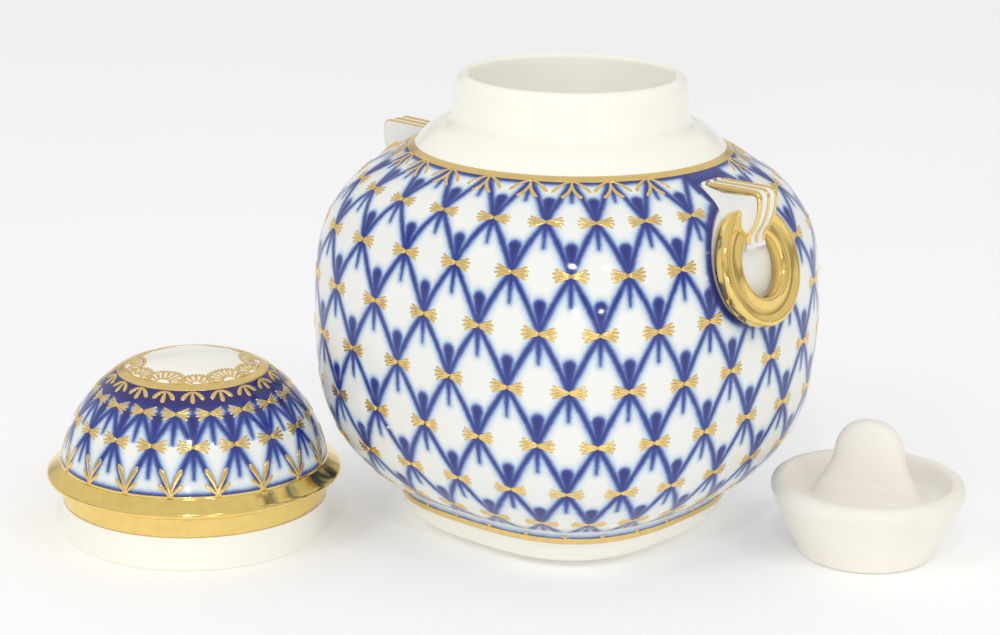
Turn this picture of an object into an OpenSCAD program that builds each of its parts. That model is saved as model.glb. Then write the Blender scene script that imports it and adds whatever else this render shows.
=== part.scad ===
// Porcelain tea caddy: a rounded-square vessel with two fixed ring handles,
// a domed lid and an inner stopper. The lid and the stopper stand on the table beside it.
// The origin is the centre of the vessel's foot, on the table. +Z is up.

/* [Vessel] */
// Widest radius of the vessel, measured at its rounded corners
belly_r = 58; // [54:0.5:62]
// Height of the widest level
belly_z = 51.4; // [49:0.2:54]
// Exponent of the rounded-square plan (2 is a circle)
squareness = 2.75; // [2:0.05:3.2]
// Radius of the gently curved side, in elevation
side_arc_r = 123; // [110:1:140]
// How far the side arc runs above the widest level, in degrees
side_up = 6.1; // [5:0.1:7]
// How far the side arc runs below the widest level, in degrees
side_down = 7.6; // [6.5:0.1:8.5]
// Radius of the shoulder, in elevation
shoulder_arc_r = 26.5; // [25.5:0.1:27.5]
// Slope of the shoulder just under the gold band, in degrees
shoulder_slope = 30.4; // [28:0.2:33]
// Radius of the turn towards the foot, in elevation
lower_arc_r = 32.3; // [31.5:0.1:33]
// Radius at the upper edge of the gold band
band_r = 35.2; // [34:0.1:36]
// Height of the upper edge of the gold band
band_z = 89.9; // [89.5:0.1:91]
// Thickness of the porcelain wall
wall = 3; // [2.5:0.1:3.5]

/* [Foot] */
// Radius at the top of the foot, at its corners
foot_r = 37.9; // [37:0.1:38.5]
// Height of the foot
foot_h = 7.2; // [6.8:0.1:8]
// Outer radius of the face that the vessel stands on, at its corners
foot_face_r = 26; // [25:0.1:30]
// Width of the face that the vessel stands on
foot_face_w = 1.8; // [1.4:0.1:2.4]
// Depth of the hollow under the foot
foot_hollow = 1.6; // [1:0.1:2]

/* [Neck] */
// Outer radius of the neck
neck_r = 26.8; // [26.4:0.1:27]
// Height of the neck's rim
rim_z = 105.8; // [103:0.2:108]
// Radius of the mouth, at the rim
mouth_r = 23.1; // [22.6:0.1:23.5]
// Radius of the throat that the stopper wedges in
throat_r = 20.3; // [19.8:0.1:20.8]
// Height of the throat's edge
throat_z = 92; // [91.5:0.1:93]

/* [Handles] */
// Direction of the right handle, turned from +X, in degrees
handle_turn = -40.5; // [-90:0.5:0]
// Width of a bracket's strap
strap_w = 6.8; // [6:0.1:8]
// How far the bracket's ridges stand proud of the strap
ridge_h = 0.4; // [0.2:0.1:0.6]
// Outer radius of a ring
ring_r = 13.4; // [12.6:0.1:14]
// Width of a ring's band
ring_band = 6.4; // [5.6:0.1:6.8]
// Thickness of a ring, front to back
ring_t = 3; // [2.4:0.1:3.2]
// Distance of a ring's front face from the vessel's axis, at the ring's centre
ring_face_r = 54.4; // [54.2:0.1:56]
// Height of a ring's centre
ring_z = 71.1; // [70:0.1:72]
// How far a ring leans back to lie on the shoulder, in degrees
ring_lean = 17.8; // [15:0.2:20]

/* [Lid] */
// Outer radius of the lid's skirt
skirt_r = 30.25; // [30:0.05:31]
// Height of the flange's widest edge above the skirt's lower edge
flange_z = 14.2; // [13.8:0.1:14.6]
// Radius of the flange
flange_r = 33.7; // [33:0.1:34.5]
// Radius of the dome, in elevation
dome_arc_r = 30.9; // [30.6:0.1:31.4]
// Height of the dome's centre of curvature
dome_z = 12.2; // [11.8:0.1:12.6]
// Radius of the flattened top
crown_r = 16.8; // [15:0.1:18]
// Full height of the lid
lid_h = 41.1; // [40.6:0.1:42]
// Gap between the skirt and the vessel's neck when the lid is on
lid_gap = 0.7; // [0.4:0.1:0.9]
// Where the lid stands, along X
lid_x = -85.4; // [-110:0.2:-84]
// Where the lid stands, along Y
lid_y = -9.1; // [-30:0.1:30]

/* [Stopper] */
// Radius of the stopper's underside
plug_bottom_r = 15.2; // [14.6:0.1:16]
// Radius of the stopper's rim
plug_rim_r = 22; // [21.6:0.1:22.4]
// Height of the stopper's rim
plug_h = 17.8; // [17:0.1:19]
// Radius at the rim's inner edge
recess_r = 18.4; // [17.8:0.1:19]
// Height of the recess floor
recess_z = 12.8; // [12:0.1:13.4]
// Height of the top of the finger fin
fin_top = 31.5; // [30:0.1:33]
// Thickness of the fin
fin_t = 6.6; // [5.6:0.1:7.6]
// Direction of the fin's long side, turned from +X, in degrees
fin_turn = -24; // [-90:1:90]
// Where the stopper stands, along X
stopper_x = 68.4; // [67:0.2:100]
// Where the stopper stands, along Y
stopper_y = -20.7; // [-30:0.1:-15]

/* [Hidden] */

sides = 56;        // corners of each level of the vessel, a multiple of 8
porcelain = "ghostwhite";
gold = "goldenrod";
square_top_z = 68; // the plan is fully rounded-square below this height

// Curves -----------------------------------------------------------------
// Points of a circular arc about centre c, from angle a0 to a1
function arc(c, r, a0, a1, steps) =
  [for (i = [0:steps]) let (a = a0 + (a1 - a0) * i / steps) c + r * [cos(a), sin(a)]];

// Points of a quadratic curve from a to c, pulled towards b, without its first point
function bend(a, b, c, steps) =
  [for (i = [1:steps]) let (t = i / steps) (1 - t) * (1 - t) * a + 2 * t * (1 - t) * b + t * t * c];

function smooth(t) = let (u = min(max(t, 0), 1)) u * u * (3 - 2 * u);

// Plan exponent at a height: rounded square below, turning to a circle at the gold band
function exponent(z) =
  2 + (squareness - 2) * (1 - smooth((z - square_top_z) / (band_z - square_top_z)));

// Plan radius in direction a, as a share of the corner radius
function plan(a, n) =
  pow(pow(abs(cos(a)), n) + pow(abs(sin(a)), n), -1 / n) / pow(2, 0.5 - 1 / n);

// Vessel outline, as [corner radius, height] --------------------------------
side_c = [belly_r - side_arc_r, belly_z];
shoulder_c = side_c + (side_arc_r - shoulder_arc_r) * [cos(side_up), sin(side_up)];
lower_c = side_c + (side_arc_r - lower_arc_r) * [cos(side_down), -sin(side_down)];
lower_end = acos((foot_r + 0.3 - lower_c.x) / lower_arc_r);
shoulder_end = 90 - shoulder_slope;

// The belly's three arcs from the foot up to the shoulder, moved inwards by inset
function belly(inset, steps) = concat(
  arc(lower_c, lower_arc_r - inset, -lower_end, -side_down, steps),
  arc(side_c, side_arc_r - inset, -side_down + 3, side_up - 3, 2),
  arc(shoulder_c, shoulder_arc_r - inset, side_up, shoulder_end, steps)
);

function reversed(list) = [for (i = [len(list) - 1:-1:0]) list[i]];

foot_inner_r = foot_face_r - foot_face_w;
foot_side = [for (t = [0:22.5:90])
  [foot_face_r + (foot_r - foot_face_r) * sin(t), foot_h * (1 - cos(t))]];
under = [[foot_inner_r - 1.4, foot_hollow], [foot_inner_r, 0]];

band = [band_r, band_z];
ledge_end = [neck_r + 2.2, band_z + 4.5];
neck_base = [neck_r, band_z + 6.4];
ledge = concat([band], bend(band, [neck_r + 5.2, band_z + 4.2], ledge_end, 3),
  bend(ledge_end, [neck_r + 0.2, band_z + 4.6], neck_base, 2));
rim = [neck_r - 2.5, rim_z];
neck = concat(bend([neck_r, rim_z - 4], [neck_r - 0.4, rim_z], rim, 3),
  bend(rim, [mouth_r + 0.1, rim_z - 0.1], [mouth_r, rim_z - 1.2], 2));
throat = [[throat_r, throat_z], [throat_r, throat_z - 1.2], [throat_r + 2, throat_z - 2.6]];

inner_belly = reversed(belly(wall, 6));
floor_start = inner_belly[len(inner_belly) - 1];
floor_path = bend(floor_start, [floor_start.x - 3.6, foot_hollow + 4.8],
  [20, foot_hollow + 3.8], 4);
floor_z = foot_hollow + 3.4;

outer_path = concat(foot_side, belly(0, 7), ledge);
vessel_path = concat(under, outer_path, [[neck_r, rim_z - 4]], neck, throat, inner_belly,
  floor_path);

// Radius of the vessel's flats at a height on the outside
function flat_share(z) = plan(0, exponent(z));
outer_table = [for (p = outer_path) if (p.y > foot_h) [p.y, p.x * flat_share(p.y)]];
function flat_r(z) = lookup(z, outer_table);

module vessel() {
  levels = len(vessel_path);
  ring_points = [for (p = vessel_path) let (n = exponent(p.y))
    for (j = [0:sides - 1]) let (a = 360 * j / sides, r = p.x * plan(a, n))
      [r * cos(a), r * sin(a), p.y]];
  last = levels * sides + 1;
  points = concat([[0, 0, foot_hollow]], ring_points, [[0, 0, floor_z]]);
  faces = concat(
    [for (j = [0:sides - 1]) [0, 1 + j, 1 + (j + 1) % sides]],
    [for (i = [0:levels - 2], j = [0:sides - 1]) let (k = (j + 1) % sides)
      [1 + i * sides + j, 1 + (i + 1) * sides + k, 1 + i * sides + k]],
    [for (i = [0:levels - 2], j = [0:sides - 1]) let (k = (j + 1) % sides)
      [1 + i * sides + j, 1 + (i + 1) * sides + j, 1 + (i + 1) * sides + k]],
    [for (j = [0:sides - 1])
      [last, 1 + (levels - 1) * sides + (j + 1) % sides, 1 + (levels - 1) * sides + j]]
  );
  color(porcelain) rotate([0, 0, handle_turn]) polyhedron(points, faces);
}

// Handles: made for a flat that faces +X, then turned into place -------------
strap_foot_z = 87.3;
strap_tip = [52.5, 74.6];
strap_knee = [54.4, 83.2];
strap_waist = [52.7, 78.4];
strap_top = [50.2, 87.3];
// Outer edge of the bracket seen from the side, from the shoulder out and down to its tip
function strap_edge() = concat([[flat_r(strap_foot_z), strap_foot_z], strap_top],
  bend(strap_top, [54.4, 87.1], strap_knee, 5),
  bend(strap_knee, [54.3, 80.4], strap_waist, 4),
  bend(strap_waist, [51.6, 76.8], strap_tip, 3));
// The line where the bracket meets the vessel, from its lower end up
seat_line = concat([[flat_r(strap_tip.y), strap_tip.y]],
  [for (q = outer_table) if (q.x > strap_tip.y + 0.5 && q.x < strap_foot_z - 0.5) [q.y, q.x]]);

module side_plate(outline, thickness) {
  rotate([90, 0, 0]) linear_extrude(thickness, center = true) polygon(outline);
}

module bracket_block() {
  side_plate(concat(seat_line, strap_edge()), strap_w);
}

module ridge(y) {
  edge = strap_edge();
  raised = [for (p = edge) p + ridge_h * [0.7, 0.7]];
  translate([0, y, 0]) side_plate(concat(edge, reversed(raised)), 1.1);
}

module bracket(turn) {
  color(porcelain) rotate([0, 0, turn]) {
    bracket_block();
    for (y = [-1, 0, 1]) ridge(y * (strap_w - 1.1) / 2);
  }
}

module ring(turn) {
  inner = ring_r - ring_band;
  middle = ring_r - ring_band / 2;
  section = concat([[inner, -ring_t], [inner, -0.9], [inner + 0.8, 0]],
    bend([inner + 0.8, 0], [middle, -1.2], [ring_r - 0.8, 0], 5),
    [[ring_r, -0.9], [ring_r, -ring_t]]);
  color(gold) rotate([0, 0, turn]) difference() {
    translate([ring_face_r, 0, ring_z]) rotate([0, 90 - ring_lean, 0])
      rotate_extrude($fn = 96) polygon(section);
    bracket_block();
  }
}

module bracket_right() { bracket(handle_turn); }
module bracket_left() { bracket(handle_turn + 180); }
module ring_right() { ring(handle_turn); }
module ring_left() { ring(handle_turn + 180); }

// Lid: a skirt that goes over the neck, a flange and a dome -----------------
skirt_inner_r = neck_r + lid_gap;
lid_wall = skirt_r - skirt_inner_r;
dome_foot = [skirt_r + 0.2, flange_z + 2.9];
dome_c = [0, dome_z];
dome_end = acos(crown_r / dome_arc_r);
dome_start = asin((dome_foot.y - dome_z) / dome_arc_r);
crown_edge_z = dome_z + dome_arc_r * sin(dome_end);

module lid() {
  crown = bend([crown_r, crown_edge_z], [crown_r * 0.62, lid_h], [0, lid_h], 6);
  outside = concat(
    [[skirt_r - 0.6, 0], [skirt_r, 0.8], [skirt_r, flange_z - 2.2]],
    bend([skirt_r, flange_z - 2.2], [skirt_r + 0.6, flange_z - 1], [flange_r - 0.5, flange_z - 0.7], 3),
    [[flange_r, flange_z], [flange_r - 0.5, flange_z + 0.7]],
    bend([flange_r - 0.5, flange_z + 0.7], [dome_foot.x + 0.8, dome_foot.y - 0.8], dome_foot, 3),
    arc(dome_c, dome_arc_r, dome_start + 2, dome_end, 14),
    crown);
  inner_arc_r = dome_arc_r - lid_wall;
  inside = concat(
    [[0, lid_h - lid_wall], [crown_r * 0.7, crown_edge_z - lid_wall + 1]],
    arc(dome_c, inner_arc_r, dome_end, 10, 12),
    [[skirt_inner_r, dome_z], [skirt_inner_r, 0.6], [skirt_inner_r + 0.5, 0]]);
  color(porcelain) translate([lid_x, lid_y, 0])
    rotate_extrude($fn = 96) polygon(concat(outside, inside));
}

// Stopper: a tapered plug with a recess and a finger fin ---------------------
fin_r = 8; // radius of the fin's rounded top
fin_foot = 12.6; // half the fin's width where it meets the recess floor

module stopper() {
  plug = concat(
    [[0, 1.2], [plug_bottom_r - 5, 1.2], [plug_bottom_r - 4, 0], [plug_bottom_r - 0.8, 0],
     [plug_bottom_r, 0.8], [plug_rim_r - 0.1, plug_h - 3]],
    bend([plug_rim_r - 0.1, plug_h - 3], [plug_rim_r + 0.2, plug_h], [plug_rim_r - 2, plug_h], 4),
    [[recess_r + 0.4, plug_h - 0.2]],
    bend([recess_r + 0.4, plug_h - 0.2], [recess_r - 1, recess_z], [recess_r - 5, recess_z], 5),
    [[0, recess_z]]);
  fin_c = [0, fin_top - fin_r];
  half_fin = concat([[fin_foot, recess_z]],
    bend([fin_foot, recess_z], [9.8, recess_z + 3], [fin_r + 0.3, recess_z + 8], 4),
    arc(fin_c, fin_r, 12, 90, 8));
  fin = concat(half_fin, [for (i = [len(half_fin) - 2:-1:0]) [-half_fin[i].x, half_fin[i].y]]);
  color(porcelain) translate([stopper_x, stopper_y, 0]) {
    rotate_extrude($fn = 96) polygon(plug);
    rotate([0, 0, fin_turn]) rotate([90, 0, 0]) linear_extrude(fin_t, center = true)
      polygon(concat(fin, [[-fin_foot, recess_z - 0.5], [fin_foot, recess_z - 0.5]]));
  }
}

vessel();
bracket_right();
bracket_left();
ring_right();
ring_left();
lid();
stopper();
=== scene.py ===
"""Looks of a porcelain tea caddy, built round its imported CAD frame.

Sizes are in millimetres until mesh_piece() turns them into metres.
A place on a decorated surface is a column (round it) and an arc length s (up its profile).
"""
import math

import bpy
import numpy as np
from mathutils import Matrix, Vector


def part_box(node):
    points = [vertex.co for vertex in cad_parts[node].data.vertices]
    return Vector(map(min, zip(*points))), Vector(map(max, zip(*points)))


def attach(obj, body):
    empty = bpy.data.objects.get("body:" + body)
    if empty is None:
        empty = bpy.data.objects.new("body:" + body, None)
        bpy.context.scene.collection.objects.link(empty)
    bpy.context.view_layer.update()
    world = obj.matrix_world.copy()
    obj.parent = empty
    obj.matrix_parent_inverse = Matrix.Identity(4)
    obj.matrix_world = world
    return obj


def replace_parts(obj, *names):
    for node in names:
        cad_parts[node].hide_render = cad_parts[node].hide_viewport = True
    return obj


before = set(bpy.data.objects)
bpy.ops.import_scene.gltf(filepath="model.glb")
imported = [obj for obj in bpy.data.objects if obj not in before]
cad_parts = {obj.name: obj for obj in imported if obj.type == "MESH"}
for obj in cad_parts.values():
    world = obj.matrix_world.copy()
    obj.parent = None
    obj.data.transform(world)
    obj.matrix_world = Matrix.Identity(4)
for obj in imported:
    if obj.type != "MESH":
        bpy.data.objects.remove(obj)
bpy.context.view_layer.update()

MM = 0.001


def node_box(name):
    """Lowest and highest corner of a CAD node, in millimetres."""
    low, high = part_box(name)
    return np.array(low) / MM, np.array(high) / MM


# Driving dimensions, as in the CAD source ----------------------------------------------
HANDLE_TURN = math.radians(-40.5)
BELLY_R, BELLY_Z, SQUARENESS, SQUARE_TOP_Z = 58.0, 51.4, 2.75, 68.0
SIDE_ARC_R, SIDE_UP, SIDE_DOWN = 123.0, 6.1, 7.6
SHOULDER_ARC_R, SHOULDER_SLOPE, LOWER_ARC_R = 26.5, 30.4, 32.3
BAND_R, BAND_Z, WALL = 35.2, 89.9, 3.0
FOOT_R, FOOT_H, FOOT_FACE_R, FOOT_FACE_W, FOOT_HOLLOW = 37.9, 7.2, 26.0, 1.8, 1.6
NECK_R, MOUTH_R, THROAT_R, THROAT_Z = 26.8, 23.1, 20.3, 92.0
RIM_Z = node_box("vessel")[1][2]

STRAP_W, RIDGE_H, RIDGE_SINK, STEM_TOP_Z = 6.8, 0.4, 0.25, 87.4
RIDGES_Y = (-2.75, 0.0, 2.75)
RING_R, RING_BAND, RING_T = 13.4, 6.4, 3.0
RING_FACE_R, RING_Z, RING_LEAN = 54.4, 71.1, math.radians(17.8)

LID_LOW, LID_HIGH = node_box("lid")
LID_CENTRE = (LID_LOW + LID_HIGH) / 2 * np.array([1, 1, 0])
LID_H = LID_HIGH[2]
FLANGE_R = (LID_HIGH[0] - LID_LOW[0]) / 2
SKIRT_R, SKIRT_INNER_R, FLANGE_Z = 30.25, 27.5, 14.2
DOME_ARC_R, DOME_Z, CROWN_R = 30.9, 12.2, 16.8

STOPPER_LOW, STOPPER_HIGH = node_box("stopper")
STOPPER_CENTRE = (STOPPER_LOW + STOPPER_HIGH) / 2 * np.array([1, 1, 0])
PLUG_BOTTOM_R, PLUG_RIM_R, PLUG_H = 15.2, 22.0, 17.8
RECESS_R, RECESS_Z = 18.4, 12.8
FIN_TOP, FIN_T, FIN_TURN = STOPPER_HIGH[2], 6.6, math.radians(-24)

# Decoration of the vessel: rows of bows on a net --------------------------------------
COLUMNS, ROWS = 24, 7
ROW_PITCH, FIRST_ROW_S = 12.43, 86.37
COLUMN_TURN, CORNER_PULL, FRONT_PULL = -84.3, 1.5, 3.0
# Decoration of the lid: places of the rows, as elevation angles on the dome
LID_COLUMNS, LID_TURN, LACE_ROSETTES = 18, -83.4, 12
LID_ROWS = np.radians([68.0, 56.0, 44.8, 30.5, 9.3, -15.0])

# Colours -------------------------------------------------------------------------------


def from_srgb(*rgb):
    """Linear colour with alpha from 0-255 screen values."""
    values = np.array(rgb) / 255
    return (*np.where(values < 0.04045, values / 12.92, ((values + 0.055) / 1.055) ** 2.4), 1.0)


PORCELAIN = from_srgb(243, 244, 239)
CREAM = from_srgb(250, 248, 236)
GOLD = from_srgb(247, 214, 138)


# Curves --------------------------------------------------------------------------------
def arc(centre, radius, start, end, steps):
    """Points of a circular arc, angles in degrees."""
    a = np.radians(np.linspace(start, end, steps + 1))
    return np.column_stack([centre[0] + radius * np.cos(a), centre[1] + radius * np.sin(a)])


def bend(a, b, c, steps):
    """Points of a quadratic curve from a to c, pulled towards b."""
    t = np.linspace(0, 1, steps + 1)[:, None]
    a, b, c = (np.array(p, float) for p in (a, b, c))
    return (1 - t) ** 2 * a + 2 * t * (1 - t) * b + t * t * c


def joined(*stretches):
    """One path from several, without doubled points."""
    path = np.vstack([np.atleast_2d(np.array(s, float)) for s in stretches])
    keep = np.r_[True, np.linalg.norm(np.diff(path, axis=0), axis=1) > 1e-4]
    return path[keep]


def spread(path, step):
    """The same path with points about a step apart, its corners kept."""
    out = [path[0]]
    for a, b in zip(path[:-1], path[1:]):
        n = max(1, math.ceil(np.linalg.norm(b - a) / step))
        out += [a + (b - a) * i / n for i in range(1, n + 1)]
    return np.array(out)


def length_along(path):
    return np.r_[0, np.cumsum(np.linalg.norm(np.diff(path, axis=0), axis=1))]


def along_path(path):
    """Unit direction of a path at each of its points."""
    direction = np.gradient(path, axis=0)
    direction /= np.linalg.norm(direction, axis=1, keepdims=True)
    return direction


def smooth(t):
    """0 to 1 eased at both ends."""
    t = np.clip(t, 0, 1)
    return t * t * (3 - 2 * t)


# Surfaces that carry decoration --------------------------------------------------------
class Surface:
    """A profile of (radius, height) points carried round an axis; s is measured along it."""

    def __init__(self, profile, columns, angle_of, share_of, centre=(0, 0, 0), row_s=(1, 0)):
        self.profile, self.s = profile, length_along(profile)
        self.columns, self.angle_of, self.share_of = columns, angle_of, share_of
        self.centre = np.array(centre, float)
        self.row_s = np.array(row_s, float)  # arc lengths of rows -1, 0, 1, 2 ...

    def base(self, column, s):
        r = np.interp(s, self.s, self.profile[:, 0])
        z = np.interp(s, self.s, self.profile[:, 1])
        return self.turned(column, r, z)

    def turned(self, column, r, z):
        a = self.angle_of(column)
        r = r * self.share_of(a, z)
        return np.stack([r * np.cos(a), r * np.sin(a), z + 0 * a], -1) + self.centre

    def place(self, column, s, lift=0.0):
        """The point of the surface at a column and arc length, raised along its normal."""
        around = self.base(column + 0.02, s) - self.base(column - 0.02, s)
        along = self.base(column, s + 0.15) - self.base(column, s - 0.15)
        normal = np.cross(around, along)
        normal /= np.linalg.norm(normal, axis=-1, keepdims=True)
        return self.base(column, s) + normal * np.asarray(lift)[..., None]

    def column_width(self, column, s):
        around = self.base(column + 0.1, s) - self.base(column - 0.1, s)
        return np.linalg.norm(around, axis=-1) / 0.2

    def row_of(self, s):
        """Row coordinate: whole numbers at the rows of bows, rising downwards."""
        return np.interp(-np.asarray(s), -self.row_s, np.arange(len(self.row_s)) - 1.0)

    def pitch_at(self, row):
        """Distance between the rows on either side of a row coordinate."""
        gaps = self.row_s[:-1] - self.row_s[1:]
        return gaps[np.clip(np.floor(row).astype(int) + 1, 0, len(gaps) - 1)]


def exponent(z):
    return 2 + (SQUARENESS - 2) * (1 - smooth((z - SQUARE_TOP_Z) / (BAND_Z - SQUARE_TOP_Z)))


def plan(a, n):
    """Plan radius of a rounded square in direction a, as a share of its corner radius."""
    power = np.abs(np.cos(a)) ** n + np.abs(np.sin(a)) ** n
    return power ** (-1 / n) / 2 ** (0.5 - 1 / n)


def vessel_share(a, z):
    return plan(a - HANDLE_TURN, exponent(z))


def vessel_angle(column):
    """Direction of a column. The transfers sit closer together at the corners and in front."""
    even = np.asarray(column) * 2 * math.pi / COLUMNS
    pull = CORNER_PULL * np.sin(4 * even) + FRONT_PULL * np.sin(even)
    return math.radians(COLUMN_TURN) + even - np.radians(pull)


def round_share(a, z):
    """The lid's plan is a plain circle."""
    return 1.0 + 0 * a


def lid_angle(column):
    return math.radians(LID_TURN) + np.asarray(column) * 2 * math.pi / LID_COLUMNS


side_c = np.array([BELLY_R - SIDE_ARC_R, BELLY_Z])
up, down = math.radians(SIDE_UP), math.radians(SIDE_DOWN)
shoulder_c = side_c + (SIDE_ARC_R - SHOULDER_ARC_R) * np.array([math.cos(up), math.sin(up)])
lower_c = side_c + (SIDE_ARC_R - LOWER_ARC_R) * np.array([math.cos(down), -math.sin(down)])
lower_end = math.degrees(math.acos((FOOT_R + 0.3 - lower_c[0]) / LOWER_ARC_R))


def belly(inset, steps):
    """The belly's three arcs from the foot up to the shoulder."""
    return joined(
        arc(lower_c, LOWER_ARC_R - inset, -lower_end, -SIDE_DOWN, steps),
        arc(side_c, SIDE_ARC_R - inset, -SIDE_DOWN, SIDE_UP, steps // 2),
        arc(shoulder_c, SHOULDER_ARC_R - inset, SIDE_UP, 90 - SHOULDER_SLOPE, steps),
    )


BELLY_PATH = spread(joined([(FOOT_R, FOOT_H)], belly(0, 60), [(BAND_R, BAND_Z)]), 0.8)
ROW_S = FIRST_ROW_S + ROW_PITCH * (1 - np.arange(-1, ROWS + 3))
VESSEL = Surface(BELLY_PATH, COLUMNS, vessel_angle, vessel_share, row_s=ROW_S)

dome_end = math.degrees(math.acos(CROWN_R / DOME_ARC_R))
DOME_PATH = arc((0, DOME_Z), DOME_ARC_R, 0, dome_end, 200)
CROWN_EDGE = DOME_PATH[-1]
LID_ROW_S = LID_ROWS * DOME_ARC_R
LID = Surface(DOME_PATH, LID_COLUMNS, lid_angle, round_share, LID_CENTRE, LID_ROW_S)
CROWN_PATH = bend(CROWN_EDGE, (CROWN_R * 0.62, LID_H), (0, LID_H), 60)
CROWN = Surface(CROWN_PATH, LID_COLUMNS, lid_angle, round_share, LID_CENTRE)


# Meshes --------------------------------------------------------------------------------
def mesh_piece(name, points, faces, material, body, corner_data=None):
    """A smooth-shaded mesh from points in millimetres, riding on a CAD body."""
    mesh = bpy.data.meshes.new(name)
    mesh.from_pydata((np.asarray(points) * MM).tolist(), [], [list(map(int, f)) for f in faces])
    mesh.polygons.foreach_set("use_smooth", [True] * len(mesh.polygons))
    for label, values in (corner_data or {}).items():
        layer = mesh.attributes.new(label, "FLOAT_VECTOR", "CORNER")
        layer.data.foreach_set("vector", np.asarray(values, np.float32).ravel())
    mesh.materials.append(material)
    mesh.update()
    piece = bpy.data.objects.new(name, mesh)
    bpy.context.scene.collection.objects.link(piece)
    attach(piece, body)
    return piece


def ring_faces(levels, sides):
    """Quads between neighbouring rings of points, each ring closed on itself."""
    i, j = np.meshgrid(np.arange(levels - 1), np.arange(sides), indexing="ij")
    k = (j + 1) % sides
    quads = np.stack([i * sides + j, i * sides + k, (i + 1) * sides + k, (i + 1) * sides + j], -1)
    return quads.reshape(-1, 4)


def lathe_points(surface, path, sides):
    """Rings of points for a path of (radius, height), from its first point to its last."""
    columns = np.arange(sides) * surface.columns / sides
    return np.vstack([surface.turned(columns, r + 0 * columns, z) for r, z in path])


# Materials -----------------------------------------------------------------------------
class Signal:
    """A number flowing through a material's nodes, written as ordinary arithmetic."""

    def __init__(self, tree, socket):
        self.tree, self.socket = tree, socket

    def math(self, operation, *others, clamp=False):
        node = self.tree.nodes.new("ShaderNodeMath")
        node.operation = operation
        node.use_clamp = clamp
        for slot, value in zip(node.inputs, (self, *others)):
            feed(self.tree, slot, value)
        return Signal(self.tree, node.outputs[0])

    def __add__(self, other):
        return self.math("ADD", other)

    def __sub__(self, other):
        return self.math("SUBTRACT", other)

    def __rsub__(self, other):
        return (self * -1.0) + other

    def __mul__(self, other):
        return self.math("MULTIPLY", other)

    def __truediv__(self, other):
        return self.math("DIVIDE", other)

    def abs(self):
        return self.math("ABSOLUTE")

    def least(self, other):
        return self.math("MINIMUM", other)

    def most(self, other):
        return self.math("MAXIMUM", other)

    def merged(self, other, radius):
        """The smaller of two distances, with the corner between them rounded."""
        return self.math("SMOOTH_MIN", other, radius)

    def fade(self, start, end):
        """0 at start, 1 at end, eased."""
        node = self.tree.nodes.new("ShaderNodeMapRange")
        node.interpolation_type = "SMOOTHSTEP"
        node.inputs["From Min"].default_value = start
        node.inputs["From Max"].default_value = end
        self.tree.links.new(self.socket, node.inputs["Value"])
        return Signal(self.tree, node.outputs["Result"])


def feed(tree, slot, value):
    """Links a signal or socket to an input, or sets a plain value on it."""
    if isinstance(value, Signal):
        tree.links.new(value.socket, slot)
    elif isinstance(value, bpy.types.NodeSocket):
        tree.links.new(value, slot)
    else:
        slot.default_value = value


def new_material(name, roughness, metallic=0.0):
    material = bpy.data.materials.new(name)
    material.use_nodes = True
    shader = material.node_tree.nodes["Principled BSDF"]
    shader.inputs["Roughness"].default_value = roughness
    shader.inputs["Metallic"].default_value = metallic
    shader.inputs["IOR"].default_value = 1.5
    return material, material.node_tree, shader


def noise(tree, scale, detail=2.0, place=None):
    """Noise from 0 to 1 in object space; scale is per metre."""
    node = tree.nodes.new("ShaderNodeTexNoise")
    node.inputs["Scale"].default_value = scale
    node.inputs["Detail"].default_value = detail
    if place is None:
        place = tree.nodes.new("ShaderNodeTexCoord").outputs["Object"]
    tree.links.new(place, node.inputs["Vector"])
    return Signal(tree, node.outputs["Fac"])


def add_bump(tree, shader, height, distance):
    bump = tree.nodes.new("ShaderNodeBump")
    bump.inputs["Distance"].default_value = distance
    tree.links.new(height.socket, bump.inputs["Height"])
    tree.links.new(bump.outputs["Normal"], shader.inputs["Normal"])


def mixed(tree, share, a, b):
    """Colour between a and b."""
    node = tree.nodes.new("ShaderNodeMix")
    node.data_type = "RGBA"
    feed(tree, node.inputs[0], share)
    feed(tree, node.inputs[6], a)
    feed(tree, node.inputs[7], b)
    return node.outputs[2]


def glazed(name, colour, shade):
    """Clear-glazed porcelain: a little uneven in tone, its surface very slightly wavy."""
    material, tree, shader = new_material(name, 0.09)
    tone = noise(tree, 30).fade(0.3, 0.7)
    tree.links.new(mixed(tree, tone, colour, shade), shader.inputs["Base Color"])
    add_bump(tree, shader, noise(tree, 55), 0.00012)
    return material


def gilded(name, colour, roughness, wave):
    """Burnished gold over glaze, with brush marks in its roughness and a slight ripple."""
    material, tree, shader = new_material(name, roughness, metallic=1.0)
    tone = noise(tree, 400, 4).fade(0.3, 0.7)
    darker = tuple(c * 0.92 for c in colour[:3]) + (1.0,)
    tree.links.new(mixed(tree, tone, colour, darker), shader.inputs["Base Color"])
    rough = noise(tree, 900, 3) * (roughness * 0.8) + roughness * 0.6
    tree.links.new(rough.socket, shader.inputs["Roughness"])
    add_bump(tree, shader, noise(tree, 260, 3), wave)
    return material


def biscuit(name, colour, shade):
    """Smooth unglazed porcelain."""
    material, tree, shader = new_material(name, 0.42)
    tone = noise(tree, 60, 4).fade(0.3, 0.7)
    tree.links.new(mixed(tree, tone, colour, shade), shader.inputs["Base Color"])
    add_bump(tree, shader, noise(tree, 2500, 3), 0.00003)
    return material


INK_STOPS = [
    (-1.5, from_srgb(50, 44, 112)),
    (-0.8, from_srgb(46, 50, 124)),
    (-0.25, from_srgb(52, 70, 146)),
    (0.1, from_srgb(104, 126, 184)),
    (0.45, from_srgb(176, 197, 222)),
    (1.0, from_srgb(222, 231, 235)),
    (1.9, PORCELAIN),
]


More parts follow.
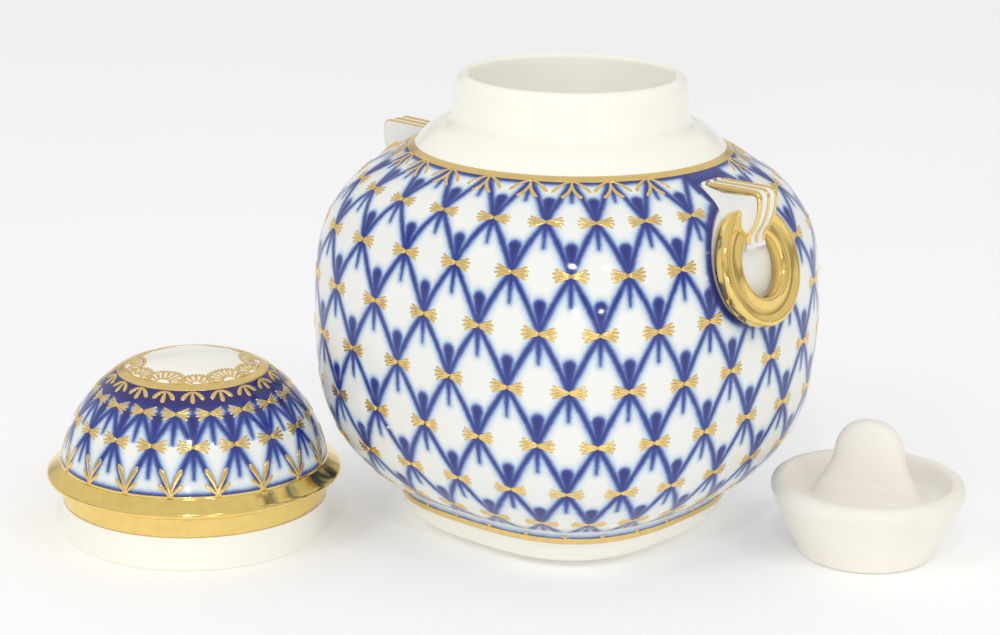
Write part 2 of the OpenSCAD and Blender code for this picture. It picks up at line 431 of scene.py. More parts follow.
def ink_colour(tree, distance):
    """Cobalt in a painted shape, paling through a blue halo, by distance from its edge in mm."""
    low, high = INK_STOPS[0][0], INK_STOPS[-1][0]
    ramp = tree.nodes.new("ShaderNodeValToRGB")
    for place, colour in INK_STOPS[1:-1]:
        ramp.color_ramp.elements.new((place - low) / (high - low)).color = colour
    ramp.color_ramp.elements[0].color = INK_STOPS[0][1]
    ramp.color_ramp.elements[-1].color = INK_STOPS[-1][1]
    tree.links.new(((distance - low) / (high - low)).socket, ramp.inputs["Fac"])
    return ramp.outputs["Color"]


def node_offset(tree, column, row, odd_shift):
    """Signed distance in columns to the nearest net node of a row, and that node's column."""
    odd = (row / 2.0).math("FRACT") * 2.0
    shifted = column - (odd * (2 * odd_shift - 0.5) + (0.5 - odd_shift))
    nearest = shifted.math("ROUND")
    return shifted - nearest, nearest


def painted(name, size, top_row, bottom_row, edge_widths, last_row, odd_shift, has_handles):
    """Porcelain painted with the cobalt net, all lengths in mm.

    Attribute net holds column, row and column width. Attribute zone holds row pitch, distance
    across the plane of the handles, and height. edge_widths are the dark borders at the top and
    bottom rows: cobalt, save the vessel's bottom one, which is painted shade in the crease above
    the foot. odd_shift is where the odd rows have their nodes, in columns; even rows are half a
    column away.
    """
    material, tree, shader = new_material(name, 0.09)
    attribute = tree.nodes.new("ShaderNodeAttribute")
    attribute.attribute_name = "net"
    split = tree.nodes.new("ShaderNodeSeparateXYZ")
    tree.links.new(attribute.outputs["Vector"], split.inputs[0])
    column, row, width = (Signal(tree, s) for s in split.outputs)
    zone_attribute = tree.nodes.new("ShaderNodeAttribute")
    zone_attribute.attribute_name = "zone"
    zone_split = tree.nodes.new("ShaderNodeSeparateXYZ")
    tree.links.new(zone_attribute.outputs["Vector"], zone_split.inputs[0])
    pitch, across, height = (Signal(tree, s) for s in zone_split.outputs)

    above = row.math("FLOOR")
    part = row - above
    x_above, _ = node_offset(tree, column, above, odd_shift)
    x_below, _ = node_offset(tree, column, above + 1.0, odd_shift)
    x_above = (x_above * width).abs()
    x_below = (x_below * width).abs()
    y_above = part * pitch
    y_below = (1.0 - part) * pitch

    # Lines from a node down to its two lower neighbours, bowed outwards
    run = width * 0.5 * (part * 1.26 - part * part * 0.26)
    slope = (width * 0.5) / pitch
    steep = (slope * slope + 1.0).math("SQRT")
    line = (x_above - run).abs() / steep - 0.5 * size
    # Bud above a node: a drop with its tip at the node
    bud_top = 5.8 * size
    bud_radius = (y_below / bud_top).math("MINIMUM", 1.0) * (1.0 * size) + 0.3 * size
    over = (y_below - bud_top).most(0.0)
    bud = (x_below * x_below + over * over).math("SQRT") - bud_radius
    bud = bud + (row - last_row).math("GREATER_THAN", 0.0) * 9.0
    # Tail below a node, thinning out
    tail_end = 6.4 * size
    tail_radius = 0.78 * size - y_above * 0.1
    past = (y_above - tail_end).most(0.0)
    tail = (x_above * x_above + past * past).math("SQRT") - tail_radius

    shape = line.merged(bud, 0.6 * size).merged(tail, 1.0 * size)
    grain = noise(tree, 1400, 2) * 0.34 - 0.17
    wash = noise(tree, 260, 2) * 0.5 - 0.25
    # No net on the last stretch, then a dark edge along the top and bottom borders
    shape = shape + (row - bottom_row).fade(-0.15, -0.11) * 3.0
    top_edge = (row - top_row) * pitch - edge_widths[0]
    # The edges are cobalt, save the vessel's bottom one: a thin dark line of painted shade in the
    # crease where the belly meets the foot
    bottom_edge = (bottom_row - row) * pitch - edge_widths[1]
    shape = shape.merged(top_edge, 1.2 * size).merged(bottom_edge, 0.8 * size)
    if has_handles:
        along = (height - RING_Z) / math.cos(RING_LEAN)
        disc = (across * across + along * along).math("SQRT") - (RING_R + 0.2)
        stem = across.abs() - (STRAP_W / 2 + 1.6)
        stem = stem.most(RING_Z - height).most(height - STEM_TOP_Z)
        reserve = disc.least(stem)
        outline = reserve.abs() - 1.1
        shape = shape.merged(outline, 2.0)
    shape = shape + grain + wash
    colour = ink_colour(tree, shape)
    inside = (row - top_row).math("GREATER_THAN", 0.0)
    inside = inside * (bottom_row - row).math("GREATER_THAN", 0.0)
    if has_handles:
        colour = mixed(tree, (reserve + 0.6).fade(-0.4, 0.4), PORCELAIN, colour)
    colour = mixed(tree, inside, CREAM, colour)
    # Painted glow: the plain glaze outside the net gives off a faint cream light of its own, to
    # brighten it
    shader.inputs["Emission Color"].default_value = CREAM
    feed(tree, shader.inputs["Emission Strength"], (1.0 - inside) * 0.045)
    tree.links.new(colour, shader.inputs["Base Color"])
    add_bump(tree, shader, noise(tree, 55), 0.00012)
    return material


# Painted motifs as raised gold strokes --------------------------------------------------
def stroke(points, widths, height=0.11):
    """A raised, tapered stroke along (x right, y up), as template points (x, y, lift) and faces."""
    path = np.array(points, float)
    direction = along_path(path)
    side = np.column_stack([-direction[:, 1], direction[:, 0]])
    widths = np.asarray(widths, float) * np.ones(len(path))
    section = [(-1.0, -0.06), (-0.62, height * 0.8), (0.0, height)]
    section += [(0.62, height * 0.8), (1.0, -0.06)]
    rows = []
    for p, n, w in zip(path, side, widths):
        scale = min(1.0, w / 0.25)
        rows += [(*(p + n * w * a), b if b < 0 else b * scale) for a, b in section]
    count = len(section)
    quads = ring_faces(len(path), count)[:, ::-1].tolist()
    last = (len(path) - 1) * count
    caps = [list(range(count)), [last + i for i in range(count)][::-1]]
    return np.array(rows), quads + caps


def combined(parts):
    """One set of points and faces from several."""
    points, faces, start = [], [], 0
    for p, f in parts:
        points.append(p)
        faces += [[i + start for i in face] for face in f]
        start += len(p)
    return np.vstack(points), faces


def round_ends(count, full, start=0.3, end=1.0):
    """Widths of a stroke: thin at its start, full near its end, with a rounded tip."""
    t = np.linspace(0, 1, count)
    grow = start + (end - start) * smooth(t / 0.8)
    tip = np.sqrt(np.clip(1 - ((t - 0.86) / 0.14).clip(0) ** 2, 0.05, 1))
    return full * grow * tip


def curl(x, y, pull, width, count=9, start=0.4, root=(0.0, 0.0)):
    """A stroke from root to (x, y), curving by way of pull."""
    return stroke(bend(root, pull, (x, y), count - 1), round_ends(count, width, start))


def bow(width, height):
    """A gold bow: a fan of four blunt strokes a side, grown together in the middle."""
    parts = []
    for side in (-1, 1):
        fan = [(side * width * x, 0.0) for x in (-0.02, 0.07, 0.16, 0.24)]
        parts.append(stroke(fan, [height * 0.13, height * 0.16, height * 0.19, height * 0.15], 0.1))
        for k, reach in zip((-1, -0.36, 0.36, 1), (0.88, 1.0, 1.0, 0.88)):
            x, y = side * width / 2 * reach, k * (height / 2 - 0.25)
            root = (side * width * 0.04, k * height * 0.08)
            pull = (side * width * 0.24, k * height * 0.2)
            parts.append(curl(x, y, pull, width * 0.049, 10, 0.8, root))
    return combined(parts)


def hanging_sprig(size):
    """Gold strokes hanging from the band: a short one, two that curl out, two that run wide."""
    parts = [curl(0, -1.8 * size, (0, -1), 0.4, 8, 0.8)]
    for side in (-1, 1):
        curled, wide = (side * -0.1, -3.4 * size), (side * 2.3, -0.7 * size)
        parts.append(curl(side * 2.3 * size, -5.1 * size, curled, 0.52, 16, 0.6))
        parts.append(curl(side * 4.2 * size, -3.6 * size, wide, 0.48, 16, 0.55))
    return combined(parts)


def three_petals(size):
    """Three gold strokes hanging from the ring on top of the lid."""
    parts = [curl(0, -3.1 * size, (0, -1), 0.68, 14, 0.45)]
    for side in (-1, 1):
        parts.append(curl(side * 2.5 * size, -2.2 * size, (side * 1.3, -0.1), 0.62, 14, 0.45))
    return combined(parts)


def standing_sprig(size):
    """Gold strokes rising from the flange: a tall pair and a short pair on a thick root."""
    parts = []
    for side in (-1, 1):
        tall, short = (side * 0.5, 3.2 * size), (side * 0.8, 1.3 * size)
        parts.append(curl(side * 2.6 * size, 6.7 * size, tall, 0.72, 18, 0.4, (0, 0.3)))
        parts.append(curl(side * 2.9 * size, 3.1 * size, short, 0.58, 16, 0.4, (0, 0.2)))
    parts.append(stroke([(0, -0.3), (0, 0.8), (0, 2.0)], [0.95, 0.85, 0.2]))
    return combined(parts)


def foot_sprig(size):
    """A small pair of gold strokes that stand on the foot line."""
    parts = []
    for side in (-1, 1):
        parts.append(curl(side * 1.1 * size, 1.5 * size, (side * 0.3, 1.0 * size), 0.28, 6, 0.6))
    return combined(parts)


def rosette(radius, petals):
    """Half a lace rosette: a rim with beads outside it and petals inside, open side down."""
    half_turn = np.radians(np.linspace(4, 176, 25))
    rim = np.column_stack([np.cos(half_turn), np.sin(half_turn)]) * radius
    parts = [stroke(rim, 0.42), stroke(rim[::2] * 0.4, 0.34)]
    for a in np.radians(np.linspace(10, 170, petals)):
        out = np.array([math.cos(a), math.sin(a)])
        root, pull = out * radius * 0.4, out * radius * 0.7
        parts.append(curl(*(out * radius * 0.92), pull, 0.5, 8, 0.6, root))
    for a in np.radians(np.linspace(6, 174, 2 * petals + 1)):
        out = np.array([math.cos(a), math.sin(a)])
        bead = [out * (radius + reach) for reach in (0.15, 0.42, 0.7)]
        parts.append(stroke(bead, [0.24, 0.3, 0.12]))
    return combined(parts)


def printed(name, surface, motifs, material, slot, body):
    """Raised gold motifs laid on a surface. motifs holds (template, column, s) triples."""
    points, faces, start = [], [], 0
    for (template, template_faces), column, s in motifs:
        lengths = s + template[:, 1]
        columns = column + template[:, 0] / surface.column_width(column + 0 * lengths, lengths)
        points.append(surface.place(columns, lengths, template[:, 2]))
        faces += [[i + start for i in f] for f in template_faces]
        start += len(template)
    return mesh_piece(name, np.vstack(points), faces, material, body)


def border(name, surface, s_low, s_high, lift, material, slot, body, sides=384):
    """A gold line that runs all the way round, slightly raised, from s_low to s_high."""
    section = [(s_low, -0.06), (s_low, lift * 0.7), (s_low + 0.12, lift)]
    section += [(s_high - 0.12, lift), (s_high, lift * 0.7), (s_high, -0.06)]
    columns = np.arange(sides) * surface.columns / sides
    rings = [surface.place(columns, s + 0 * columns, h + 0 * columns) for s, h in section]
    points = np.vstack(rings)
    faces = ring_faces(len(section), sides).tolist()
    last = (len(section) - 1) * sides
    for j in range(sides):
        k = (j + 1) % sides
        faces.append([last + j, last + k, k, j])
    return mesh_piece(name, points, faces, material, body)


# Materials of this object ---------------------------------------------------------------
painted_vessel = painted("painted_vessel", 1.0, -0.12, 7.845, (2.6, 0.1), ROWS, 0.0, True)
painted_lid = painted("painted_lid", 1.1, -0.02, 3.05, (5.0, 1.6), 2, 0.5, False)
white_glaze = glazed("white_glaze", PORCELAIN, from_srgb(238, 240, 238))
gold_leaf = gilded("gold_leaf", GOLD, 0.22, 0.00002)
gold_burnished = gilded("gold_burnished", from_srgb(250, 217, 132), 0.07, 0.00002)
gold_flange = gilded("gold_flange", from_srgb(250, 218, 132), 0.13, 0.00002)
bare_porcelain = biscuit("bare_porcelain", from_srgb(250, 246, 235), from_srgb(247, 242, 231))


# Pieces ----------------------------------------------------------------------------------
def shell(name, surface, path, s_of_level, material, body, sides=192):
    """A closed turned form along (radius, height). s_of_level marks the decorated stretch."""
    points = lathe_points(surface, path, sides)
    quads = ring_faces(len(path), sides)
    level, side = quads[:, 0] // sides, quads[:, 0] % sides
    s_level = np.asarray(s_of_level, float)
    decorated = np.isfinite(s_level[level]) & np.isfinite(s_level[level + 1])
    column = np.stack([side, side + 1, side + 1, side], -1) * surface.columns / sides
    s = np.nan_to_num(np.stack([s_level[level]] * 2 + [s_level[level + 1]] * 2, -1))
    row = np.where(decorated[:, None], surface.row_of(s), -9.0)
    middle = row.mean(axis=1, keepdims=True)
    pitch = np.where(decorated[:, None], surface.pitch_at(middle) + 0 * s, 10.0)
    width = surface.column_width(column, s)
    xyz = points[quads]
    across = np.sin(-HANDLE_TURN) * xyz[..., 0] + np.cos(-HANDLE_TURN) * xyz[..., 1]
    caps = [list(range(sides))[::-1], [(len(path) - 1) * sides + j for j in range(sides)]]
    # The two end caps are plain: their row is past the last one, and they are far from the handles
    blank = np.zeros((2 * sides, 3))
    blank[:, 1] = 99
    net = np.vstack([np.stack([column, row, width], -1).reshape(-1, 3), blank - 9])
    zone = np.vstack([np.stack([pitch, across, xyz[..., 2]], -1).reshape(-1, 3), blank + 10])
    faces = quads.tolist() + caps
    return mesh_piece(name, points, faces, material, body, {"net": net, "zone": zone})


def build_vessel():
    """The vessel as one path: under the foot, up the belly, over the rim and down the inside."""
    inner_r = FOOT_FACE_R - FOOT_FACE_W
    under = joined([(0.4, FOOT_HOLLOW), (inner_r - 2.2, FOOT_HOLLOW)],
                   bend((inner_r - 2.2, FOOT_HOLLOW), (inner_r - 0.5, FOOT_HOLLOW),
                        (inner_r - 0.1, 0.25), 6),
                   bend((inner_r - 0.1, 0.25), (inner_r, 0), (inner_r + 0.25, 0), 4),
                   [(FOOT_FACE_R - 0.1, 0)])
    t = np.radians(np.linspace(4, 88, 20))
    foot_r = FOOT_FACE_R + (FOOT_R - FOOT_FACE_R) * np.sin(t)
    foot = np.column_stack([foot_r, FOOT_H * (1 - np.cos(t))])
    band = (BAND_R, BAND_Z)
    ledge_end, neck_base = (NECK_R + 2.2, BAND_Z + 4.5), (NECK_R, BAND_Z + 6.4)
    below_throat = (THROAT_R + 2, THROAT_Z - 2.6)
    upper = joined(bend(band, (NECK_R + 5.2, BAND_Z + 4.2), ledge_end, 14)[1:],
                   bend(ledge_end, (NECK_R + 0.2, BAND_Z + 4.6), neck_base, 10),
                   [(NECK_R, RIM_Z - 4)],
                   bend((NECK_R, RIM_Z - 4), (NECK_R - 0.4, RIM_Z), (NECK_R - 2.5, RIM_Z), 14),
                   bend((NECK_R - 2.5, RIM_Z), (MOUTH_R + 0.1, RIM_Z - 0.1),
                        (MOUTH_R, RIM_Z - 1.2), 8),
                   bend((THROAT_R + 0.1, THROAT_Z + 0.5), (THROAT_R, THROAT_Z),
                        (THROAT_R, THROAT_Z - 0.7), 5),
                   bend((THROAT_R, THROAT_Z - 0.7), (THROAT_R, THROAT_Z - 2.4), below_throat, 6))
    inner = belly(WALL, 24)[::-1]
    floor = bend(inner[-1], (inner[-1][0] - 3.6, FOOT_HOLLOW + 4.8), (20, FOOT_HOLLOW + 3.8), 12)
    inside = joined(inner, floor, [(0.4, FOOT_HOLLOW + 3.4)])
    stretches = [(spread(joined(under, foot), 2.0), None), (BELLY_PATH, VESSEL.s),
                 (spread(joined(upper, inside), 2.5), None)]
    path, s = [], []
    for points, lengths in stretches:
        path.append(points)
        s.append(np.full(len(points), np.nan) if lengths is None else lengths)
    return shell("vessel_body", VESSEL, np.vstack(path), np.concatenate(s), painted_vessel,
                 "caddy")


def build_lid():
    """The lid as one path: the inside from the crown down, the skirt, the flange and the dome."""
    lip_low, lip_high = (FLANGE_R - 0.5, FLANGE_Z - 0.7), (FLANGE_R - 0.5, FLANGE_Z + 0.7)
    flange_low = bend((SKIRT_R, FLANGE_Z - 2.2), (SKIRT_R + 0.6, FLANGE_Z - 1), lip_low, 8)
    lip = bend(lip_low, (FLANGE_R + 0.45, FLANGE_Z), lip_high, 8)
    dome_foot = (SKIRT_R + 0.2, FLANGE_Z + 2.9)
    flange_high = bend(lip_high, (dome_foot[0] + 0.8, dome_foot[1] - 0.8), dome_foot, 10)
    skirt = joined(bend((SKIRT_R - 0.9, 0), (SKIRT_R, 0), (SKIRT_R, 0.9), 6),
                   [(SKIRT_R, FLANGE_Z - 2.2)])
    low_part = spread(joined(skirt, flange_low, lip, flange_high), 1.5)
    start = np.searchsorted(DOME_PATH[:, 1], dome_foot[1] + 0.2)
    dome, dome_s = DOME_PATH[start:], LID.s[start:]
    wall = SKIRT_R - SKIRT_INNER_R
    inner_dome = arc((0, DOME_Z), DOME_ARC_R - wall, dome_end, 10, 40)
    inside = joined(bend((0.4, LID_H - wall), (CROWN_R * 0.7, LID_H - wall), inner_dome[0], 12),
                    inner_dome,
                    [(SKIRT_INNER_R, DOME_Z), (SKIRT_INNER_R, 0.9)],
                    bend((SKIRT_INNER_R, 0.9), (SKIRT_INNER_R, 0), (SKIRT_INNER_R + 0.9, 0), 6))
    crown = CROWN_PATH[1:-1]
    path = np.vstack([inside, low_part, dome, crown])
    s = np.concatenate([np.full(len(inside) + len(low_part), np.nan), dome_s,
                        np.full(len(crown), np.nan)])
    lid = shell("lid_body", LID, path, s, painted_lid, "lid")
    skirt_top = [(SKIRT_R, 8.0), (SKIRT_R, FLANGE_Z - 2.2)]
    gilt = spread(joined(skirt_top, flange_low, lip, flange_high, dome[:3]), 1.0)
    sleeve("lid_gilding", LID, gilt, 0.06, gold_flange, "lid")
    return lid


def sleeve(name, surface, path, lift, material, body, sides=192):
    """A thin closed coat that follows a turned profile."""
    direction = along_path(path)
    normal = np.column_stack([direction[:, 1], -direction[:, 0]])
    outer, inner = path + normal * lift, path - normal * 0.15
    loop = np.vstack([outer, inner[::-1]])
    points = lathe_points(surface, loop, sides)
    faces = ring_faces(len(loop), sides).tolist()
    last = (len(loop) - 1) * sides
    faces += [[last + j, last + (j + 1) % sides, (j + 1) % sides, j] for j in range(sides)]
    return mesh_piece(name, points, faces, material, body)


def build_gold_on_vessel():
    place = ("gilded_porcelain", "caddy")
    motif = bow(7.9, 3.4)
    bows = []
    for row in range(1, ROWS + 1):
        s = FIRST_ROW_S + ROW_PITCH * (1 - row)
        for k in range(COLUMNS):
            column = k + (0.0 if row % 2 else 0.5)
            if not near_handle(column, s):
                bows.append((motif, column, s))
    printed("gold_bows", VESSEL, bows, gold_leaf, *place)
    top = VESSEL.s[-1]
    sprigs = [(hanging_sprig(1.0), k + 0.5, top - 1.6) for k in range(COLUMNS)
              if not near_handle(k + 0.5, top - 4.0)]
    printed("gold_hanging_sprigs", VESSEL, sprigs, gold_leaf, *place)
    foot = [(foot_sprig(0.6), k + 0.5, 1.2) for k in range(COLUMNS)]
    printed("gold_foot_sprigs", VESSEL, foot, gold_leaf, *place)
    border("gold_band", VESSEL, top - 1.85, top - 0.05, 0.09, gold_leaf, *place)
    border("gold_foot_line", VESSEL, 0.05, 1.35, 0.09, gold_leaf, *place)


def near_handle(column, s, margin=2.0):
    """Whether a motif there would lie under a bracket or a ring."""
    x, y, z = VESSEL.base(np.array(column), np.array(s))
    across = abs(math.sin(-HANDLE_TURN) * x + math.cos(-HANDLE_TURN) * y)
    in_ring = math.hypot(across, (z - RING_Z) / math.cos(RING_LEAN)) < RING_R + margin
    in_stem = across < STRAP_W / 2 + margin + 1 and RING_Z < z < 89
    return in_ring or in_stem


def build_gold_on_lid():
    place = ("gilded_porcelain", "lid")
    rows = LID_ROW_S[1:]
    petals = [(three_petals(1.0), k, rows[0] - 0.3) for k in range(LID_COLUMNS)]
    small = [(bow(6.7, 3.6), k + 0.5, rows[1]) for k in range(LID_COLUMNS)]
    large = [(bow(7.4, 3.5), k, rows[2]) for k in range(LID_COLUMNS)]
    standing = [(standing_sprig(0.95), k + 0.5, rows[3] + 0.2) for k in range(LID_COLUMNS)]
    printed("gold_lid_petals", LID, petals, gold_leaf, *place)
    printed("gold_lid_bows", LID, small + large, gold_leaf, *place)
    printed("gold_lid_sprigs", LID, standing, gold_leaf, *place)
    per_rosette = LID_COLUMNS / LACE_ROSETTES
    lace = [(rosette(4.7, 9) if k % 2 else rosette(3.7, 7), (k + 0.12) * per_rosette, 1.4)
            for k in range(LACE_ROSETTES)]
    printed("gold_lid_lace", CROWN, lace, gold_leaf, *place)
    ring_path = spread(joined(DOME_PATH[-4:], CROWN_PATH[:8]), 0.4)
    sleeve("gold_lid_ring", LID, ring_path, 0.08, gold_leaf, "lid")


# Brackets and rings: made for a flat that faces +X, then turned ---------------------------
def turned_out(points, turn):
    """Points turned about the upright axis."""
    c, s = math.cos(turn), math.sin(turn)
    x, y, z = np.asarray(points, float).T
    return np.column_stack([x * c - y * s, x * s + y * c, z])


def flat_r(z):
    """Distance from the axis to the middle of a flat, at height z."""
    return np.interp(z, BELLY_PATH[:, 1], BELLY_PATH[:, 0]) * plan(0.0, exponent(z))


STRAP_FOOT_Z, STRAP_TIP = 87.3, (52.5, 74.6)
STRAP_PATH = spread(joined([(float(flat_r(STRAP_FOOT_Z)), STRAP_FOOT_Z)],
                           bend((52.6, 87.5), (55.0, 87.5), (54.8, 85.0), 12),
                           bend((54.8, 85.0), (54.6, 81.0), (52.7, 78.4), 12),
                           bend((52.7, 78.4), (51.6, 76.8), STRAP_TIP, 8)), 0.6)


def build_bracket(name, node, turn):
    """A web that grows out of the belly and carries a ribbed strap, each rib with a gold line."""
    edge = STRAP_PATH
    count = len(edge)
    t = np.linspace(0, 1, count)
    seat_z = STRAP_FOOT_Z + 0.6 - t * (STRAP_FOOT_Z - STRAP_TIP[1] + 3.4)
    seat = np.column_stack([flat_r(seat_z) - 0.8, seat_z])
    direction = along_path(edge)
    outward = np.column_stack([-direction[:, 1], direction[:, 0]])
    half = STRAP_W / 2
    flare = 0.8 + 4.2 * smooth(t)
    web = np.linspace(0, 1, 12)
    across = np.linspace(half, -half, 29)
    ridges = sum(np.exp(-(((across - y) / 0.5) ** 2)) for y in RIDGES_Y) * RIDGE_H - RIDGE_SINK
    rows = []
    for k in range(count):
        side_y = half + flare[k] * (1 - web) ** 3
        side = seat[k] + (edge[k] - outward[k] * 0.3 - seat[k]) * web[:, None]
        top = edge[k] + outward[k] * ridges[:, None]
        rows.append(np.vstack([
            np.column_stack([side[:, 0], side_y, side[:, 1]]),
            np.column_stack([top[:, 0], across, top[:, 1]]),
            np.column_stack([side[::-1, 0], -side_y[::-1], side[::-1, 1]])]))
    width = len(rows[0])
    faces = ring_faces(count, width).tolist()
    faces += [list(range(width))[::-1], [(count - 1) * width + i for i in range(width)]]
    body = mesh_piece(name, turned_out(np.vstack(rows), turn), faces, white_glaze,
                      "caddy")
    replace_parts(body, node)
    points, line_faces = combined([gilded_ridge(edge, outward, y) for y in RIDGES_Y])
    mesh_piece(name + "_gold_lines", turned_out(points, turn), line_faces, gold_leaf,
               "caddy")


def gilded_ridge(edge, outward, y):
    """A gold line along one ridge of a strap."""
    section = [(-0.42, -0.2), (-0.3, 0.06), (0.0, 0.16), (0.3, 0.06), (0.42, -0.2)]
    rows = []
    for k, (p, n) in enumerate(zip(edge[2:-2], outward[2:-2])):
        if y < 0:
            overhang = STRAP_W / 2 + y + 0.09
            depth = 1.6 - 1.3 * smooth(k / len(edge) * 1.3)
            section = [(-overhang + 0.2, -depth), (-overhang, -depth), (-overhang, -0.2)]
            section += [(-0.3, 0.06), (0.0, 0.16), (0.3, 0.06), (0.42, -0.2)]
        for a, b in section:
            q = p + n * (RIDGE_H - RIDGE_SINK + b)
            rows.append((q[0], y + a, q[1]))
    count, levels = len(section), len(edge) - 4
    faces = ring_faces(levels, count)[:, ::-1].tolist()
    last = (levels - 1) * count
    return np.array(rows), faces + [list(range(count)), [last + i for i in range(count)][::-1]]


def build_ring(name, node, turn):
    """A gilded ring with a hollowed face, leaning with the belly."""
    inner, middle = RING_R - RING_BAND, RING_R - RING_BAND / 2
    section = joined(bend((inner, -1.1), (inner, 0), (inner + 1.1, 0), 6),
                     bend((inner + 1.1, 0), (middle, -1.3), (RING_R - 1.1, 0), 14),
                     bend((RING_R - 1.1, 0), (RING_R, 0), (RING_R, -1.1), 6),
                     [(RING_R, -RING_T), (inner, -RING_T)])
    section = spread(section, 0.5)
    sides = 128
    a = np.arange(sides) * 2 * math.pi / sides
    c, s = math.cos(RING_LEAN), math.sin(RING_LEAN)
    rows = []
    for r, h in section:
        u, v = r * np.cos(a), r * np.sin(a)
        x = RING_FACE_R + h * c - v * s
        z = RING_Z + h * s + v * c
        rows.append(np.column_stack([x, u, z]))
    points = turned_out(np.vstack(rows), turn)
    faces = ring_faces(len(section), sides)[:, ::-1].tolist()
    last = (len(section) - 1) * sides
    faces += [[j, (j + 1) % sides, last + (j + 1) % sides, last + j] for j in range(sides)]
    piece = mesh_piece(name, points, faces, gold_burnished, "caddy")
    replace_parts(piece, node)


# Stopper ---------------------------------------------------------------------------------
def remeshed(name, points, faces, voxel, smoothing):
    """Melts overlapping closed forms into one, with soft joins: returns points and faces in mm."""
    mesh = bpy.data.meshes.new(name)
    mesh.from_pydata(np.asarray(points).tolist(), [], faces)
    work = bpy.data.objects.new(name, mesh)
    bpy.context.scene.collection.objects.link(work)
    remesh = work.modifiers.new("remesh", "REMESH")
    remesh.mode = "VOXEL"
    remesh.voxel_size = voxel
    soften = work.modifiers.new("soften", "SMOOTH")
    soften.iterations = smoothing
    soften.factor = 0.5
    depsgraph = bpy.context.evaluated_depsgraph_get()
    result = bpy.data.meshes.new_from_object(work.evaluated_get(depsgraph))
    out = np.array([v.co for v in result.vertices]), [list(p.vertices) for p in result.polygons]
    bpy.data.objects.remove(work)
    return out


def build_stopper():
    """The plug and its fin, melted into one piece."""
    profile = joined([(0.4, 1.2), (PLUG_BOTTOM_R - 5, 1.2)],
                     bend((PLUG_BOTTOM_R - 5, 1.2), (PLUG_BOTTOM_R - 4, 0),
                          (PLUG_BOTTOM_R - 3, 0), 4),
                     bend((PLUG_BOTTOM_R - 1.2, 0), (PLUG_BOTTOM_R, 0),
                          (PLUG_BOTTOM_R + 0.3, 1.2), 5),
                     [(PLUG_RIM_R - 0.1, PLUG_H - 3)],
                     bend((PLUG_RIM_R - 0.1, PLUG_H - 3), (PLUG_RIM_R + 0.2, PLUG_H),
                          (PLUG_RIM_R - 2, PLUG_H), 8),
                     bend((RECESS_R + 0.4, PLUG_H - 0.2), (RECESS_R - 1, RECESS_Z),
                          (RECESS_R - 5, RECESS_Z), 12),
                     [(0.4, RECESS_Z)])
    profile = spread(profile, 1.0)
    sides = 128
    a = np.arange(sides) * 2 * math.pi / sides
    plug = np.vstack([np.column_stack([r * np.cos(a), r * np.sin(a), z + 0 * a])
                      for r, z in profile])
    faces = ring_faces(len(profile), sides).tolist()
    faces += [list(range(sides))[::-1], [(len(profile) - 1) * sides + j for j in range(sides)]]
    points, faces = combined([(plug, faces), fin()])
    points, faces = remeshed("stopper_work", points, faces, 0.5, 8)
    points = points + STOPPER_CENTRE
    piece = mesh_piece("stopper_body", points, faces, bare_porcelain,
                       "stopper")
    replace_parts(piece, "stopper")


def fin():
    """The finger fin: an upright rounded tongue that widens into the recess floor."""
    heights, sides = np.linspace(0, 1, 36), 64
    root = 1.5  # how far it starts below the recess floor, so that the two melt together
    top = FIN_TOP - RECESS_Z + 1.6
    around = np.arange(sides) * 2 * math.pi / sides
    rows = []
    for t in heights:
        z = RECESS_Z - root + top * t
        dome = math.sqrt(max(0.0, 1 - max(0.0, (t - 0.5) / 0.5) ** 2.6))
        wide = (8.3 * max(dome, 0.03)) + 5.0 * (1 - smooth(t / 0.6))
        thick = (FIN_T / 2) * max(dome, 0.06) ** 0.6 + 2.2 * (1 - smooth(t / 0.34))
        x = wide * np.sign(np.cos(around)) * np.abs(np.cos(around)) ** 0.75
        y = thick * np.sign(np.sin(around)) * np.abs(np.sin(around)) ** 0.85
        rows.append(np.column_stack([x, y, z + 0 * x]))
    faces = ring_faces(len(heights), sides).tolist()
    faces += [list(range(sides))[::-1], [(len(heights) - 1) * sides + j for j in range(sides)]]
    return turned_out(np.vstack(rows), FIN_TURN), faces


# Stage -------------------------------------------------------------------------------------
CAMERA_PLACE, CAMERA_LENS = (-14.3, -576.7, 214.6), 93.7
CAMERA_YAW, CAMERA_PITCH, CAMERA_ROLL = -0.11, 16.09, 0.72
FLOOR_HALF = 3.0  # metres


def add_camera():
    """A camera in front of the caddy and a little above it, looking slightly down."""
    yaw, pitch, roll = (math.radians(a) for a in (CAMERA_YAW, CAMERA_PITCH, CAMERA_ROLL))
    level = math.cos(pitch)
    ahead = Vector((math.sin(yaw) * level, math.cos(yaw) * level, -math.sin(pitch)))
    right = Vector((math.cos(yaw), -math.sin(yaw), 0))
    up_axis = right.cross(ahead)
    x_axis = math.cos(roll) * right + math.sin(roll) * up_axis
    y_axis = -math.sin(roll) * right + math.cos(roll) * up_axis
    camera = bpy.data.objects.new("camera", bpy.data.cameras.new("camera"))
    camera.data.sensor_width = 36.0
    camera.data.lens = CAMERA_LENS
    camera.data.clip_start = 0.01
    facing = Matrix((x_axis, y_axis, -ahead)).transposed().to_4x4()
    camera.matrix_world = Matrix.Translation(Vector(CAMERA_PLACE) * MM) @ facing
    bpy.context.scene.collection.objects.link(camera)
    bpy.context.scene.camera = camera


def add_light(name, place, size, power, mirrored=True):
    """A round light aimed at the object, in metres. Without mirrored, no glaze or gold shows it."""
    data = bpy.data.lights.new(name, "AREA")
    data.shape = "DISK"
    data.size = size
    data.energy = power
    light = bpy.data.objects.new(name, data)
    light.location = place
    light.visible_glossy = mirrored
    aim = Vector((0, 0, 0.05)) - Vector(place)
    light.rotation_euler = aim.to_track_quat("-Z", "Y").to_euler()
    bpy.context.scene.collection.objects.link(light)


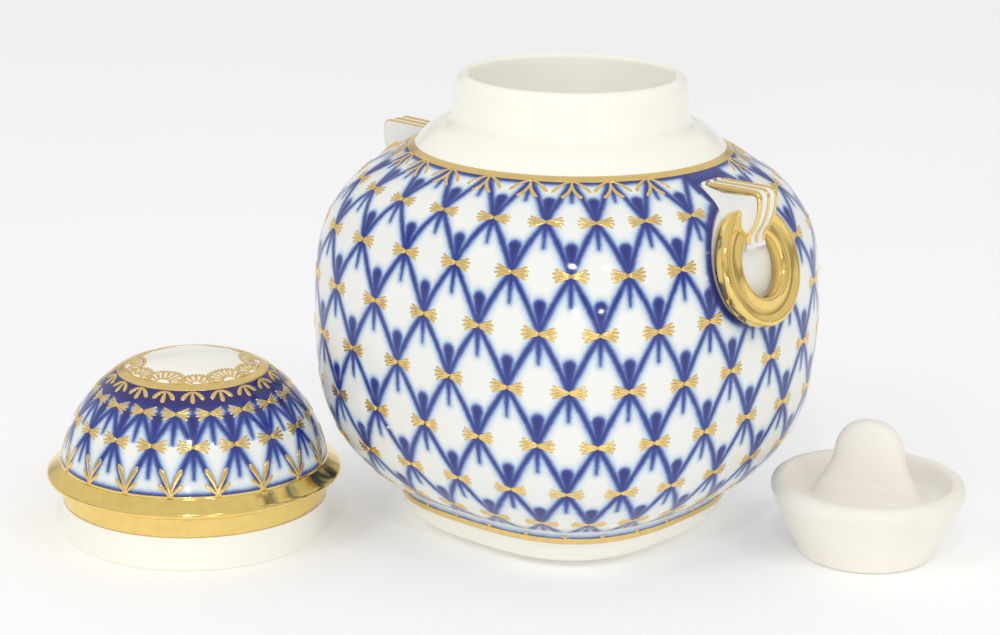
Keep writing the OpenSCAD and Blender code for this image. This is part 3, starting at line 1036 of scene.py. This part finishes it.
def add_stage():
    """Pale surroundings, a pale floor and the lamps."""
    world = bpy.data.worlds.new("studio")
    world.use_nodes = True
    tree = world.node_tree
    tree.nodes["Background"].inputs["Color"].default_value = (1.0, 1.0, 1.0, 1.0)
    direction = tree.nodes.new("ShaderNodeTexCoord").outputs["Generated"]
    split = tree.nodes.new("ShaderNodeSeparateXYZ")
    tree.links.new(direction, split.inputs[0])
    height = Signal(tree, split.outputs["Z"])
    dim_band = height.fade(0.02, 0.16) * (1.0 - height.fade(0.24, 0.42))
    patches = noise(tree, 2.4, 1.0, direction).fade(0.35, 0.65)
    strength = 0.74 - dim_band * patches * 0.4
    tree.links.new(strength.socket, tree.nodes["Background"].inputs["Strength"])
    bpy.context.scene.world = world
    corners = [(x * FLOOR_HALF, y * FLOOR_HALF, 0) for x, y in ((-1, -1), (1, -1), (1, 1), (-1, 1))]
    mesh = bpy.data.meshes.new("floor")
    mesh.from_pydata(corners, [], [(0, 1, 2, 3)])
    material, tree, shader = new_material("floor_paint", 0.7)
    shader.inputs["Specular IOR Level"].default_value = 0.2
    shader.inputs["Emission Color"].default_value = (1.0, 1.0, 1.0, 1.0)
    shader.inputs["Emission Strength"].default_value = 0.16
    tone = noise(tree, 3).fade(0.2, 0.8)
    paint = mixed(tree, tone, (0.93, 0.93, 0.93, 1), (0.91, 0.91, 0.91, 1))
    tree.links.new(paint, shader.inputs["Base Color"])
    mesh.materials.append(material)
    floor = bpy.data.objects.new("floor", mesh)
    bpy.context.scene.collection.objects.link(floor)
    add_light("key_left", (-0.75, -0.75, 0.95), 0.3, 1.8, False)
    add_light("key_right", (0.7, -0.8, 0.9), 0.3, 1.2, False)
    add_light("lamp_high", (-0.067, -0.84, 0.86), 0.08, 1.0)
    add_light("lamp_side", (0.32, -0.8, 0.83), 0.06, 0.25)
    add_light("lamp_low_left", (-0.07, -1.2, 0.15), 0.06, 0.4)
    add_light("lamp_low_right", (0.3, -1.15, 0.15), 0.06, 0.4)
    bpy.context.scene.view_settings.view_transform = "Standard"


add_camera()
add_stage()
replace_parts(build_vessel(), "vessel")
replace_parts(build_lid(), "lid")
build_gold_on_vessel()
build_gold_on_lid()
for side, turn in (("right", HANDLE_TURN), ("left", HANDLE_TURN + math.pi)):
    build_bracket("bracket_" + side + "_body", "bracket_" + side, turn)
    build_ring("ring_" + side + "_body", "ring_" + side, turn)
build_stopper()
